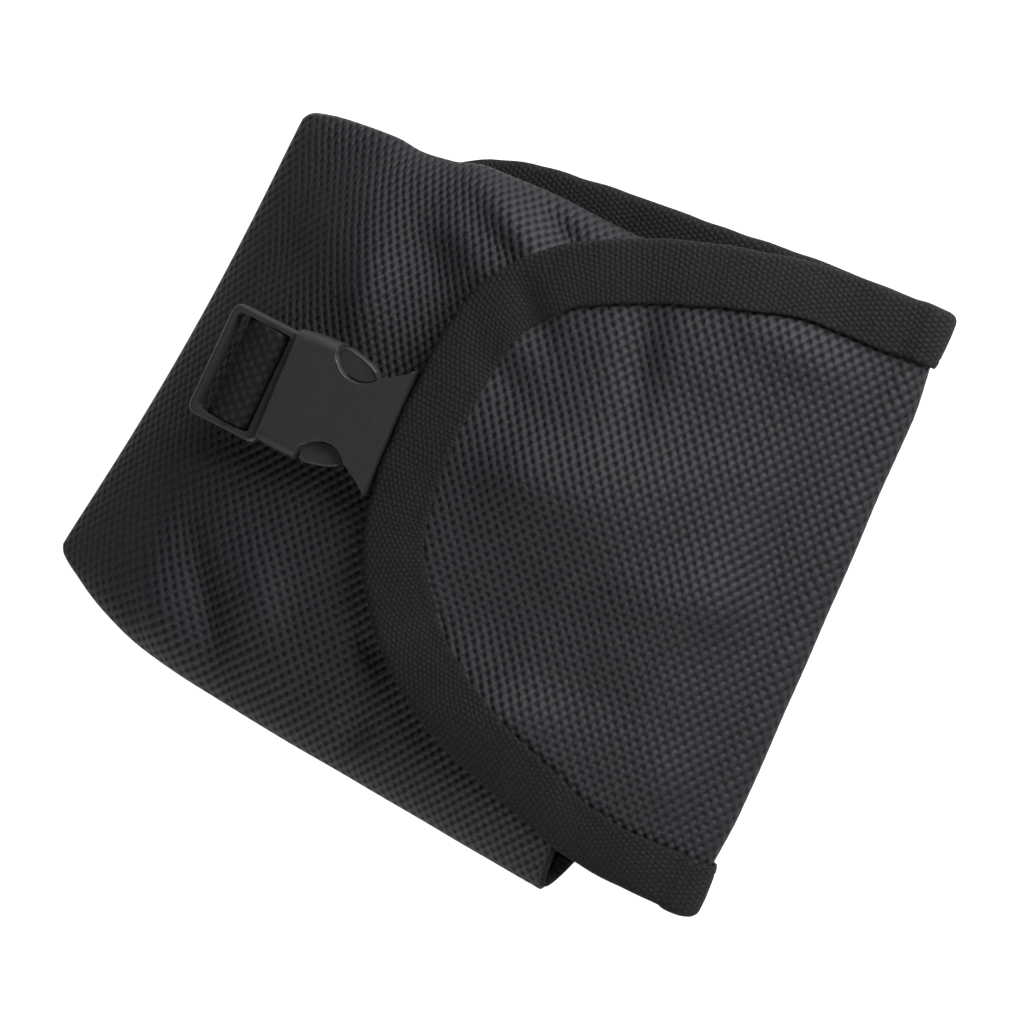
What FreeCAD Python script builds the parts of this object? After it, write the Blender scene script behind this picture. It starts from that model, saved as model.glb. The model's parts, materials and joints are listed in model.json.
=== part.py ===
import FreeCAD, Part
import math
import os
import Sketcher

# Soft weight pocket for a dive belt, lying on its back. All sizes are in millimetres.
# X runs across the pocket, +Y points to the fold at its top, +Z points out of its front.
# Bodies that move: the flap, the male half of the buckle and its two press tabs.

os.makedirs("parts", exist_ok=True)
doc = FreeCAD.newDocument("weight_pocket")
sheet = doc.addObject("Spreadsheet::Sheet", "Sizes")

# alias, value or formula, what it is
SIZES = [
    # cloth, tape and webbing
    ("cloth", "1.5", "thickness of the coated cloth with its lining"),
    ("tape", "0.8", "thickness of one layer of binding tape"),
    ("tape_wide", "13", "how far the binding reaches in from the flap's edge"),
    ("web", "1.2", "thickness of one layer of webbing"),
    ("web_half", "12.5", "half the width of the buckle webbing"),
    ("gap", "0.3", "clearance between bodies that move"),
    # overall plan
    ("reach", "87", "distance from the middle to the fold, and to the bottom edge"),
    ("half_wide", "77", "half the width over the binding"),
    ("bottom_half", "68", "half the width over the binding at the bottom edge"),
    ("shoulder_y", "51", "where the sides start to taper, and where the mouth is"),
    # belt loops under the back panel
    ("channel", "5.2", "free height of the belt channel"),
    ("channel_half", "27", "half the free width of the belt channel"),
    ("loop_web", "1.6", "thickness of the belt loop webbing"),
    ("loop_wide", "38", "width of a belt loop"),
    ("loop_in", "18", "distance from the middle to a belt loop"),
    ("loop_tail", "16", "length of a sewn tail of a belt loop"),
    # pouch
    ("crown", "18.7", "depth of the pouch over its middle"),
    ("mouth_drop", "3", "how much lower the mouth is than the crown"),
    ("crown_top_y", "12", "where the crown starts to fall towards the mouth"),
    ("crown_low_y", "-62", "where the crown starts to fall towards the bottom"),
    ("slope_y", "-73", "where the steep slope to the bottom starts"),
    ("slope_drop", "3", "how much lower the slope starts than the crown"),
    ("bottom_rise", "9", "depth of the pouch at its bottom edge"),
    ("soft_edge", "5.5", "radius of the pouch's long edges"),
    ("soft_corner", "12", "radius of the pouch's bottom corners"),
    ("binding_in", "4", "width of the binding seen beside the pouch"),
    # fold and flap
    ("fold_r", "5", "outer radius of the folded cloth"),
    ("flap_round_y", "56.4", "centre of the flap's round edge"),
    ("flap_rise", "6.1", "height of the flap's underside over the pouch's crown"),
    # buckle
    ("seam_y", "-52.3", "where the two halves of the buckle meet"),
    ("socket_end", "-22.6", "flared end of the socket next to the flap"),
    ("cheek_end", "-15.4", "end of the socket's webbing frame under the flap"),
    ("male_end", "-68.2", "outer end of the male half's frame"),
    ("socket_half", "15.6", "half the width of the socket's flared end"),
    ("buckle_half", "14.4", "half the width of the buckle at the seam"),
    ("slot_half", "12.8", "half the width of the webbing slots"),
    ("socket_deep", "8.4", "thickness of the socket"),
    ("frame_deep", "4.8", "thickness of the male half's frame"),
    ("wall", "1.5", "thickness of the socket's walls"),
    ("male_bar_r", "1.6", "radius of the male half's webbing bar"),
    ("socket_bar_r", "1.1", "radius of the socket's webbing bar"),
    ("window_r", "6.5", "radius of the socket's side windows"),
    ("window_x", "15.9", "distance from the middle to a side window's centre"),
    ("window_y", "-35.1", "centre of the side windows along the buckle"),
    ("neck_half", "10.6", "half the width of the socket beyond its windows"),
    ("guide_half", "3", "half the width of the guide tongue"),
    # drain eyelets
    ("drain_x", "44", "distance from the middle to a drain eyelet"),
    ("drain_y", "-66", "place of the drain eyelets along the pocket"),
    ("drain_r", "1.9", "radius of the drain bore"),
    ("barrel_r", "3", "outer radius of the eyelet's barrel"),
    ("flange_r", "5.5", "radius of the eyelet's flange"),
    # worked out from the sizes above
    ("back_z", "=loop_web + channel", "underside of the back panel"),
    ("floor_z", "=back_z + cloth", "inside floor of the pouch"),
    ("crown_z", "=floor_z + crown", "top of the pouch"),
    ("fold_out", "=fold_r + tape", "radius of the bound fold"),
    ("fold_in", "=fold_r - cloth", "inner radius of the folded cloth"),
    ("fold_core", "=fold_in - tape", "inner radius of the bound fold"),
    ("hinge_y", "=reach - fold_out", "axis of the fold"),
    ("hinge_z", "=back_z + fold_r + 0.2", "height of the axis of the fold"),
    ("panel_half", "=half_wide - tape", "half the width of the cloth panels"),
    ("panel_low_half", "=bottom_half - tape", "half the width of the back panel's end"),
    ("panel_end_y", "=hinge_y - fold_out + 0.3", "upper end of the back panel"),
    ("bottom_y", "=-reach", "bottom edge of the pocket"),
    ("flap_z", "=crown_z + flap_rise", "underside of the flap's cloth"),
    ("under_z", "=flap_z - tape", "underside of the flap's binding"),
    ("strap_z", "=crown_z + gap", "underside of the socket's webbing"),
    ("buckle_z", "=crown_z + web + gap + 0.2", "underside of the buckle"),
    ("male_bar_y", "=seam_y - 5.2", "place of the male half's webbing bar"),
    ("male_bar_z", "=buckle_z + male_bar_r + web + 0.2", "height of that bar"),
    ("socket_bar_y", "=cheek_end - 3", "place of the socket's webbing bar"),
    ("socket_bar_z", "=strap_z + socket_bar_r + web + 0.1", "height of that bar"),
    ("window_end_y", "=window_y + 5.6", "end of a side window next to the flap"),
]
SKETCH_PLANES = {"plan": "XY_Plane", "side": "YZ_Plane"}


def size(name):
    """The number behind an alias of the sheet."""
    return float(sheet.get(name))


for row, (alias, content, meaning) in enumerate(SIZES, start=1):
    sheet.set("A%d" % row, meaning)
    sheet.set("B%d" % row, content)
    sheet.setAlias("B%d" % row, alias)
doc.recompute()


def bind(thing, path, formula):
    """Bind a property to a formula of the sheet's aliases, written as #alias."""
    thing.setExpression(path, formula.replace("#", "Sizes."))


def origin_plane(body, role):
    """The plane of a body's origin that has this role."""
    return [item for item in body.Origin.OriginFeatures if item.Role == role][0]


def new_sketch(body, view, height="0"):
    """An empty sketch in plan at a height, or on the pocket's middle plane seen from the side."""
    sketch = body.newObject("Sketcher::SketchObject", body.Name + "_sketch")
    sketch.AttachmentSupport = [(origin_plane(body, SKETCH_PLANES[view]), "")]
    sketch.MapMode = "FlatFace"
    bind(sketch, "AttachmentOffset.Base.z", height)
    return sketch


def pin(sketch, edge, point, formulas, guess):
    """Fix one point of a sketch edge with two distances from the origin."""
    for kind, formula, number in zip(("DistanceX", "DistanceY"), formulas, guess):
        index = sketch.addConstraint(Sketcher.Constraint(kind, -1, 1, edge, point, number))
        bind(sketch, "Constraints[%d]" % index, formula)


def formula_value(formula):
    """The number a formula gives, worked out by a spare cell of the sheet."""
    sheet.set("D1", "=" + formula.replace("#", ""))
    sheet.recompute()
    number = sheet.get("D1")
    return float(getattr(number, "Value", number))


def draw(sketch, corners, arcs=()):
    """Draw a closed outline. An arc is {edge: (centre x, centre y, which one to fix, turn)}."""
    arcs = dict(arcs)
    spots = [tuple(formula_value(part) for part in corner) for corner in corners]
    count = len(corners)
    ends = []
    for edge in range(count):
        first = FreeCAD.Vector(*spots[edge], 0)
        last = FreeCAD.Vector(*spots[(edge + 1) % count], 0)
        if edge not in arcs:
            sketch.addGeometry(Part.LineSegment(first, last), False)
            ends.append((1, 2))
            continue
        centre = FreeCAD.Vector(*(formula_value(part) for part in arcs[edge][:2]), 0)
        turns_left = arcs[edge][3] == "left"
        spokes = (first - centre, last - centre) if turns_left else (last - centre, first - centre)
        angles = [math.atan2(spoke.y, spoke.x) for spoke in spokes]
        circle = Part.Circle(centre, FreeCAD.Vector(0, 0, 1), spokes[0].Length)
        sketch.addGeometry(Part.ArcOfCircle(circle, *angles), False)
        ends.append((1, 2) if turns_left else (2, 1))
    for edge in range(count):
        following = (edge + 1) % count
        sketch.addConstraint(
            Sketcher.Constraint("Coincident", edge, ends[edge][1], following, ends[following][0])
        )
    for edge in range(count):
        pin(sketch, edge, ends[edge][0], corners[edge], spots[edge])
    for edge, (across, along, fixed, turn) in arcs.items():
        kind, formula = ("DistanceX", across) if fixed == "x" else ("DistanceY", along)
        number = formula_value(formula)
        index = sketch.addConstraint(Sketcher.Constraint(kind, -1, 1, edge, 3, number))
        bind(sketch, "Constraints[%d]" % index, formula)
    return sketch


def draw_circle(sketch, across, along, radius):
    """Draw a circle from formulas."""
    centre = [formula_value(across), formula_value(along)]
    edge = sketch.addGeometry(
        Part.Circle(FreeCAD.Vector(*centre, 0), FreeCAD.Vector(0, 0, 1), formula_value(radius)),
        False,
    )
    pin(sketch, edge, 3, (across, along), centre)
    index = sketch.addConstraint(Sketcher.Constraint("Radius", edge, formula_value(radius)))
    bind(sketch, "Constraints[%d]" % index, radius)
    return sketch


def new_body(name):
    """A body whose name and label are the same."""
    body = doc.addObject("PartDesign::Body", name)
    body.Label = name
    return body


def pad(sketch, length, centred=False):
    """Raise a sketch by a length, or to both sides of it when centred."""
    body = sketch.getParentGeoFeatureGroup()
    feature = body.newObject("PartDesign::Pad", body.Name + "_pad")
    feature.Profile = sketch
    feature.SideType = "Symmetric" if centred else "One side"
    bind(feature, "Length", length)
    doc.recompute()
    return feature


def pocket(sketch):
    """Cut a sketch right through its body, both ways."""
    body = sketch.getParentGeoFeatureGroup()
    before = body.Shape.Volume
    feature = body.newObject("PartDesign::Pocket", body.Name + "_pocket")
    feature.Profile = sketch
    feature.SideType = "Symmetric"
    feature.Length = 4 * size("reach")
    doc.recompute()
    if body.Shape.Volume > before - 0.01:
        raise RuntimeError(body.Name + ": a pocket removed nothing")
    return feature


def fillet(body, radius, wanted):
    """Round the edges of a body that the test picks."""
    base = body.Tip
    names = ["Edge%d" % (i + 1) for i, edge in enumerate(base.Shape.Edges) if wanted(edge)]
    feature = body.newObject("PartDesign::Fillet", body.Name + "_fillet")
    feature.Base = (base, names)
    bind(feature, "Radius", radius)
    doc.recompute()
    return feature


def boolean(kind, name, base, tool):
    """The Cut or Common of two objects."""
    result = doc.addObject("Part::" + kind, name)
    result.Label = name
    result.Base = base
    result.Tool = tool
    doc.recompute()
    return result


def fuse(name, things):
    """Several solids held as one node."""
    result = doc.addObject("Part::Compound", name)
    result.Label = name
    result.Links = things
    doc.recompute()
    return result


def box(name, lengths, corner):
    """A box from formulas for its three lengths and its low corner."""
    solid = doc.addObject("Part::Box", name)
    for path, formula in zip(("Length", "Width", "Height"), lengths):
        bind(solid, path, formula)
    for path, formula in zip("xyz", corner):
        bind(solid, "Placement.Base." + path, formula)
    return solid


def cylinder(name, radius, height, place):
    """An upright cylinder from formulas for its radius, its height and its foot."""
    solid = doc.addObject("Part::Cylinder", name)
    bind(solid, "Radius", radius)
    bind(solid, "Height", height)
    for path, formula in zip("xyz", place):
        bind(solid, "Placement.Base." + path, formula)
    return solid


def upright(edge):
    """Whether an edge runs along Z."""
    return abs(edge.tangentAt(edge.FirstParameter).z) > 0.99


def mirrored(corners):
    """An outline on the left half, and the same one carried on to the right half."""
    return corners + [("-(%s)" % across, along) for across, along in reversed(corners)]


# ---------------------------------------------------------------- back panel and its binding


def make_back_panel():
    """Flat cloth with two holes for the drain eyelets."""
    body = new_body("back_panel")
    left = [
        ("-#panel_half", "#panel_end_y"),
        ("-#panel_half", "#shoulder_y"),
        ("-#panel_low_half", "#bottom_y"),
    ]
    pad(draw(new_sketch(body, "plan", "#back_z"), mirrored(left)), "#cloth")
    near_bottom = size("bottom_y") + 1
    fillet(body, "#soft_corner", lambda e: upright(e) and e.CenterOfMass.y < near_bottom)
    for side in ("-", ""):
        hole = new_sketch(body, "plan", "#back_z")
        pocket(draw_circle(hole, side + "#drain_x", "#drain_y", "#barrel_r"))
    return body


def make_back_binding(name, sign, panel):
    """Tape folded round one side edge of the back panel."""
    body = new_body(name + "_block")
    low_y = "(#bottom_y + #soft_corner)"
    share = "((#shoulder_y - %s) / (#shoulder_y - #bottom_y))" % low_y
    low_half = "(#half_wide - (#half_wide - #bottom_half) * %s)" % share
    corners = [
        (sign + "#half_wide", "#panel_end_y"),
        (sign + "#half_wide", "#shoulder_y"),
        (sign + low_half, low_y),
        (sign + "(%s - #binding_in)" % low_half, low_y),
        (sign + "(#half_wide - #binding_in)", "#shoulder_y"),
        (sign + "(#half_wide - #binding_in)", "#panel_end_y"),
    ]
    sketch = draw(new_sketch(body, "plan", "#back_z - #tape"), corners)
    pad(sketch, "#cloth + 2 * #tape")
    return boolean("Cut", name, body, panel)


# ---------------------------------------------------------------- pouch


def make_pouch_form(name, inset, mouth_extra, foot):
    """The pouch's outside, or its hollow when inset by the cloth."""
    body = new_body(name)
    side = "(#half_wide - #binding_in - 0.2 - %s)" % inset
    low_side = "(#bottom_half - #binding_in - 0.2 - %s)" % inset
    low_y = "(#bottom_y + %s)" % inset
    mouth_y = "(#shoulder_y + %s)" % mouth_extra
    left = [("-" + side, mouth_y), ("-" + side, "#shoulder_y"), ("-" + low_side, low_y)]
    if mouth_extra == "0":
        left = left[1:]
    plan = draw(new_sketch(body, "plan", "#floor_z - %s" % foot), mirrored(left))
    pad(plan, "#crown + %s - %s" % (foot, inset))
    near_bottom = formula_value(low_y) + 1
    corner = "#soft_corner - %s" % inset
    fillet(body, corner, lambda e: upright(e) and e.CenterOfMass.y < near_bottom)
    top = "(#crown_z - %s)" % inset
    over = "(#crown_z + 5)"
    fall = "(#mouth_drop / (#shoulder_y - #crown_top_y) * (%s - #crown_top_y))" % mouth_y
    above = [
        (mouth_y, "%s - %s" % (top, fall)),
        ("#crown_top_y", top),
        ("#crown_low_y", top),
        ("#slope_y", "%s - #slope_drop" % top),
        (low_y, "#floor_z + #bottom_rise - %s" % inset),
        ("%s - 5" % low_y, "#floor_z + #bottom_rise - %s" % inset),
        ("%s - 5" % low_y, over),
        ("%s + 5" % mouth_y, over),
        ("%s + 5" % mouth_y, "%s - %s" % (top, fall)),
    ]
    pocket(draw(new_sketch(body, "side"), above))
    foot_z = size("floor_z") + 1
    mouth = formula_value(mouth_y) - 0.5

    def on_rim(edge):
        spots = [vertex.Point for vertex in edge.Vertexes]
        inside = abs(edge.CenterOfMass.x) < 1
        high = all(spot.z > foot_z for spot in spots)
        return high and edge.CenterOfMass.y < mouth and not upright(edge) and not inside

    fillet(body, "#soft_edge - %s" % inset, on_rim)
    return body


def make_mouth_hem(shell):
    """Tape folded over the top edge of the pouch's mouth."""
    body = new_body("mouth_hem_block")
    slope = "(#mouth_drop / (#shoulder_y - #crown_top_y))"
    top = "(#crown_z - #mouth_drop)"
    deep = "(#cloth + 2 * #tape)"
    low_y, high_y = "(#shoulder_y - 7)", "(#shoulder_y + #tape)"
    low_top = "(%s + #tape + 7 * %s)" % (top, slope)
    high_top = "(%s + #tape - #tape * %s)" % (top, slope)
    corners = [
        (low_y, low_top),
        (high_y, high_top),
        (high_y, "%s - %s" % (high_top, deep)),
        (low_y, "%s - %s" % (low_top, deep)),
    ]
    pad(draw(new_sketch(body, "side"), corners), "2 * (#half_wide - 17)", centred=True)
    return boolean("Cut", "mouth_hem", body, shell)


# ---------------------------------------------------------------- belt loops and eyelets


def make_belt_loop(name, sign):
    """A strap of webbing that stands off the back panel and leaves the belt channel free."""
    body = new_body(name)
    inner, outer = "#channel_half", "(#channel_half + #loop_web)"
    far = "(#channel_half + #loop_web + #loop_tail)"
    right = [
        (far, "#back_z"),
        (far, "#channel"),
        (outer, "#channel"),
        (outer, "0"),
    ]
    left = [("-" + across, up) for across, up in reversed(right)]
    inside = [
        ("-" + inner, "#back_z"),
        ("-" + inner, "#loop_web"),
        (inner, "#loop_web"),
        (inner, "#back_z"),
    ]
    place = "%s(#loop_in + #loop_wide / 2)" % sign
    sketch = new_sketch(body, "side", place)
    pad(draw(sketch, right + left + inside), "#loop_wide", centred=True)
    return body


def make_loop_tacks():
    """Bars of dense stitching across the tails of the belt loops."""
    tacks = []
    for sign in ("-", ""):
        for end in ("-", ""):
            for share in ("0.25", "0.8"):
                middle = "%s(#channel_half + #loop_web + #loop_tail * %s)" % (end, share)
                corner = (
                    "%s(#loop_in + #loop_wide / 2) - #loop_wide / 2 + 2" % sign,
                    middle + " - 1",
                    "#channel - 0.5",
                )
                name = "loop_tack_%d" % len(tacks)
                tacks.append(box(name, ("#loop_wide - 4", "2", "0.5"), corner))
    return fuse("belt_loop_tacks", tacks)


def make_ring(name, place, low, high, radius):
    """A flat ring round the drain bore, or the eyelet's barrel."""
    across, along = place
    outer = cylinder(name + "_outer", radius[1], "%s - %s" % (high, low), (across, along, low))
    inner = cylinder(name + "_inner", radius[0], "%s - %s + 2" % (high, low), (across, along, low + " - 1"))
    return boolean("Cut", name + "_ring", outer, inner)


def make_eyelets():
    """Two drain eyelets with a flange outside, and a washer inside the pouch."""
    eyelets, washers = [], []
    for label, sign in (("left", "-"), ("right", "")):
        place = (sign + "#drain_x", "#drain_y")
        flange = make_ring(
            "flange_" + label, place, "(#back_z - #tape)", "#back_z", ("#drain_r", "#flange_r")
        )
        barrel = make_ring(
            "barrel_" + label, place, "#back_z", "(#floor_z + #tape)", ("#drain_r", "#barrel_r")
        )
        eyelet = doc.addObject("Part::Fuse", "eyelet_" + label)
        eyelet.Base = flange
        eyelet.Tool = barrel
        eyelets.append(eyelet)
        washers.append(
            make_ring(
                "washer_" + label, place, "#floor_z", "(#floor_z + #tape)", ("#barrel_r", "#flange_r")
            )
        )
    return fuse("drain_eyelets", eyelets), fuse("eyelet_washers", washers)


# ---------------------------------------------------------------- flap


def make_strip(name, extra):
    """The flap's cloth from the side: rolled round the fold, then over the pouch."""
    body = new_body(name)
    outer_r, inner_r = "(#fold_r + %s)" % extra, "(#fold_in - %s)" % extra
    top = "(#flap_z + #cloth + %s)" % extra
    low = "(#flap_z - %s)" % extra
    tip_y = "(#reach - 110)"
    shoulder = "(#shoulder_y + 2)"
    outer = [
        ("#hinge_y", "#hinge_z - " + outer_r),
        ("#hinge_y", "#hinge_z + " + outer_r),
        (shoulder, top + " - 4"),
        ("#crown_top_y", top),
        (tip_y, top),
    ]
    inner = [
        (tip_y, low),
        ("#crown_top_y", low),
        (shoulder, low + " - 4"),
        ("#hinge_y", "#hinge_z + " + inner_r),
        ("#hinge_y", "#hinge_z - " + inner_r),
    ]
    centre = ("#hinge_y", "#hinge_z")
    arcs = {0: centre + ("x", "left"), 8: centre + ("x", "right")}
    pad(draw(new_sketch(body, "side"), outer + inner, arcs), "2 * #half_wide", centred=True)
    return body


def make_flap_plan(name, half):
    """A block with the flap's plan: straight sides that run into a half circle."""
    body = new_body(name)
    corners = [
        (half, "#flap_round_y"),
        (half, "(#reach + 5)"),
        ("-" + half, "(#reach + 5)"),
        ("-" + half, "#flap_round_y"),
    ]
    arcs = {3: ("0", "#flap_round_y", "y", "left")}
    pad(draw(new_sketch(body, "plan"), corners, arcs), "3 * #crown_z")
    return body


def make_flap():
    """The flap's cloth, and the tape bound round its edge and its fold."""
    panel = boolean(
        "Common", "flap_panel", make_strip("flap_strip", "0"), make_flap_plan("flap_plan", "#panel_half")
    )
    thick = make_strip("binding_strip", "#tape")
    whole = boolean("Common", "binding_whole", thick, make_flap_plan("binding_plan", "#half_wide"))
    inside = make_flap_plan("binding_inside", "(#half_wide - #tape_wide)")
    rim = boolean("Cut", "binding_rim", whole, inside)
    return panel, boolean("Cut", "flap_binding", rim, panel)


# ---------------------------------------------------------------- buckle and its webbing

SOCKET_BAR = ("#socket_bar_y", "#socket_bar_z", "#socket_bar_r")
MALE_BAR = ("#male_bar_y", "#male_bar_z", "#male_bar_r")


def make_webbing(name, bar, tail):
    """Webbing that goes round a bar, with a tail to where it is sewn."""
    body = new_body(name)
    across, up, bar_r = bar
    ring = draw_circle(new_sketch(body, "side"), across, up, bar_r + " + 0.1 + #web")
    pad(ring, "2 * #web_half", centred=True)
    pad(draw(new_sketch(body, "side"), tail), "2 * #web_half", centred=True)
    pocket(draw_circle(new_sketch(body, "side"), across, up, bar_r + " + 0.1"))
    return body


def make_bar(body, bar):
    """A round bar across a body, from one rail to the other."""
    circle = draw_circle(new_sketch(body, "side"), *bar)
    pad(circle, "2 * #slot_half + 0.6", centred=True)


def make_socket():
    """Hollow half of the buckle: a mouth for the prongs, two side windows and a webbing bar."""
    body = new_body("buckle_socket")
    left = [
        ("-(#buckle_half - 0.6)", "#seam_y"),
        ("-#buckle_half", "#seam_y + 1.6"),
        ("-#buckle_half", "#window_y"),
        ("-#neck_half", "#window_end_y"),
        ("-(#neck_half + 1.4)", "#window_end_y + 2.4"),
        ("-#socket_half", "#socket_end - 1"),
        ("-#socket_half", "#socket_end"),
    ]
    pad(draw(new_sketch(body, "plan", "#buckle_z"), mirrored(left)), "#socket_deep")
    top = size("buckle_z") + size("socket_deep")
    side_x = size("buckle_half") - 0.01
    on_side = lambda e: e.CenterOfMass.z > top - 0.01 and abs(e.CenterOfMass.x) > side_x
    fillet(body, "1.4", lambda e: on_side(e) and e.CenterOfMass.y < size("window_y"))
    frame = [
        ("-(#slot_half + 1.6)", "#socket_end - 3"),
        ("-(#slot_half + 1.6)", "#cheek_end"),
    ]
    pad(draw(new_sketch(body, "plan", "#buckle_z"), mirrored(frame)), "3")
    slot = [("-#slot_half", "#socket_end"), ("-#slot_half", "#cheek_end + 2")]
    pocket(draw(new_sketch(body, "plan", "#buckle_z"), mirrored(slot)))
    for sign in ("-", ""):
        window = new_sketch(body, "plan", "#buckle_z")
        pocket(draw_circle(window, sign + "#window_x", "#window_y", "#window_r"))
    make_bar(body, SOCKET_BAR)
    hollow = box(
        "socket_hollow",
        ("2 * (#buckle_half - #wall)", "#window_end_y - #seam_y", "#socket_deep - 2 * #wall"),
        ("-(#buckle_half - #wall)", "#seam_y - 1", "#buckle_z + #wall"),
    )
    return boolean("Cut", "buckle_socket_shell", body, hollow)


def make_male():
    """The other half of the buckle: a frame with a webbing bar, and a guide tongue."""
    body = new_body("buckle_male")
    left = [
        ("-(#buckle_half - 2.4)", "#male_end"),
        ("-(#buckle_half - 0.9)", "#male_end + 1.5"),
        ("-(#buckle_half - 0.2)", "#seam_y - #gap"),
    ]
    pad(draw(new_sketch(body, "plan", "#buckle_z + 0.7"), mirrored(left)), "#frame_deep")
    top = size("buckle_z") + 0.7 + size("frame_deep")
    fillet(body, "0.7", lambda e: e.CenterOfMass.z > top - 0.01)
    slot = [("-#slot_half", "#male_end + 1.7"), ("-#slot_half", "#seam_y - 1.8")]
    pocket(draw(new_sketch(body, "plan", "#buckle_z"), mirrored(slot)))
    make_bar(body, MALE_BAR)
    root = [("-(#buckle_half - #wall - #gap)", "#seam_y - 1.8")]
    root.append(("-(#buckle_half - #wall - #gap)", "#seam_y + 1.8"))
    mid_z = "#buckle_z + #socket_deep / 2"
    pad(draw(new_sketch(body, "plan", mid_z + " - 2.2"), mirrored(root)), "3.4")
    tongue = [
        ("-#guide_half", "#seam_y + 1.5"),
        ("-#guide_half", "#seam_y + 15.5"),
        ("-(#guide_half - 1.5)", "#seam_y + 17"),
    ]
    pad(draw(new_sketch(body, "plan", mid_z + " - 1.6"), mirrored(tongue)), "2.8")
    return body


def make_latch(name, sign):
    """A springy arm with the press tab and the shoulder that catches in the socket's window."""
    body = new_body(name)
    start, end = "(#seam_y + 2.1)", "(#window_end_y - 1.6)"
    shoulder = "(#window_y - 5)"
    corners = [
        (sign + "8", start),
        (sign + "10.4", start),
        (sign + "10.6", shoulder + " - 1.2"),
        (sign + "13.6", shoulder),
        (sign + "10.4", end),
        (sign + "7.6", end),
        (sign + "7.8", shoulder),
    ]
    turn = "left" if sign == "" else "right"
    arcs = {3: (sign + "(#buckle_half - 14)", shoulder + " + 1.4", "x", turn)}
    height = "#buckle_z + #wall + 0.5"
    pad(draw(new_sketch(body, "plan", height), corners, arcs), "#socket_deep - 2 * #wall - 1")
    return body


def make_male_strap():
    """Webbing from the male half's bar down to the front of the pouch."""
    low = "#buckle_z"
    tail = [
        ("#male_bar_y", "#male_bar_z + #male_bar_r + #web + 0.1"),
        ("#male_bar_y - 3.6", "#male_bar_z + 2.4"),
        ("#male_bar_y - 6.6", "#male_bar_z + 0.6"),
        ("#male_bar_y - 8.2", low),
        ("#male_bar_y", low),
    ]
    body = make_webbing("male_strap", MALE_BAR, tail)
    hollow = [
        ("#male_bar_y - 2.9", "#buckle_z + #web"),
        ("#male_bar_y - 2.9", "#male_bar_z + 1.2"),
        ("#male_bar_y - 5.4", "#male_bar_z - 0.4"),
        ("#male_bar_y - 6.1", "#buckle_z + #web"),
    ]
    pocket(draw(new_sketch(body, "side"), hollow))
    return body


def make_socket_strap():
    """Webbing from the socket's bar to its seam under the flap."""
    end_y = "(#crown_top_y - 4)"
    tail = [
        ("#socket_bar_y", "#strap_z"),
        (end_y, "#strap_z"),
        (end_y, "#strap_z + 2 * #web"),
        ("#socket_bar_y", "#strap_z + 2 * #web"),
    ]
    return make_webbing("socket_strap", SOCKET_BAR, tail)


def make_strap_base():
    """The sewn end of the webbing on the pouch under the buckle, and its bar of stitches."""
    base = box(
        "male_strap_base",
        ("2 * #web_half", "14", "#web"),
        ("-#web_half", "#crown_low_y", "#crown_z"),
    )
    tack = box(
        "male_strap_tack",
        ("2 * (#web_half - 1.5)", "2", "0.3"),
        ("-(#web_half - 1.5)", "#crown_low_y + 10", "#crown_z + #web"),
    )
    return base, tack


# ---------------------------------------------------------------- the whole pocket


def make_everything():
    """Every sub-part, by the name of its node."""
    nodes = {}
    nodes["back_panel"] = make_back_panel()
    for label, sign in (("left", "-"), ("right", "")):
        name = "back_binding_" + label
        nodes[name] = make_back_binding(name, sign, nodes["back_panel"])
        name = "belt_loop_" + label
        nodes[name] = make_belt_loop(name, sign)
        name = "latch_" + label
        nodes[name] = make_latch(name, sign)
    outside = make_pouch_form("pouch_outside", "0", "0", "0")
    hollow = make_pouch_form("pouch_hollow", "#cloth", "5", "3")
    nodes["pouch_shell"] = boolean("Cut", "pouch_shell", outside, hollow)
    nodes["mouth_hem"] = make_mouth_hem(nodes["pouch_shell"])
    nodes["belt_loop_tacks"] = make_loop_tacks()
    nodes["drain_eyelets"], nodes["eyelet_washers"] = make_eyelets()
    nodes["flap_panel"], nodes["flap_binding"] = make_flap()
    nodes["buckle_socket"] = make_socket()
    nodes["buckle_male"] = make_male()
    nodes["male_strap"] = make_male_strap()
    nodes["socket_strap"] = make_socket_strap()
    nodes["male_strap_base"], nodes["male_strap_tack"] = make_strap_base()
    return nodes


nodes = make_everything()
doc.recompute()
for thing in doc.Objects:
    if "Invalid" in thing.State or "Error" in thing.State:
        raise RuntimeError("%s is %s" % (thing.Name, thing.State))
for name, thing in sorted(nodes.items()):
    shape = thing.Shape
    if shape.isNull() or not shape.isValid():
        raise RuntimeError(name + " has no valid shape")
    shape.exportStep("parts/%s.step" % name)
    limits = shape.BoundBox
    print("%-20s %8.1f mm3  %d solids  x %.1f %.1f  y %.1f %.1f  z %.1f %.1f" % (
        name, shape.Volume, len(shape.Solids), limits.XMin, limits.XMax,
        limits.YMin, limits.YMax, limits.ZMin, limits.ZMax))
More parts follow.
